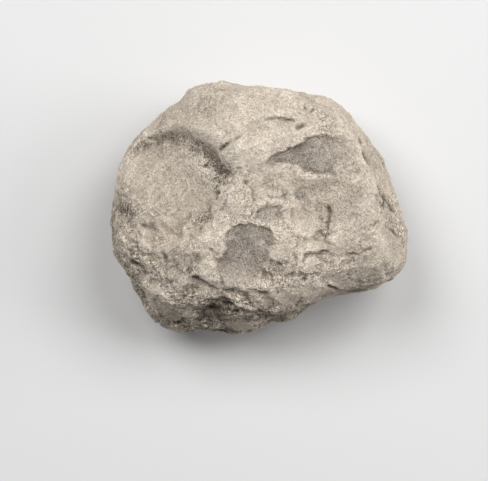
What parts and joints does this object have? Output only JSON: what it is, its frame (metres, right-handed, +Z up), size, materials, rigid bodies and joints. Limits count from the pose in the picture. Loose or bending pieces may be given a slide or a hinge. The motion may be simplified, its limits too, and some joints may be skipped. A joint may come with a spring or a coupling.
{
  "type": "chalk rock specimen",
  "caption": "Hand-sized broken lump of chalk with a domed, scarred face, stepped rough flanks and a flat place on its back to rest on.",
  "frame": {"origin": "bottom centre of the bounding box, on the surface that the lump rests on", "axes": "+X along the lump's length, +Y across its width, +Z up out of the domed and scarred face"},
  "size_m": [0.1052, 0.0908, 0.0501],
  "materials": {
    "chalk": "dry, matt and powdery broken surface"
  },
  "bodies": {
    "root": {"chalk_lump": "chalk"}
  },
  "joints": []
}
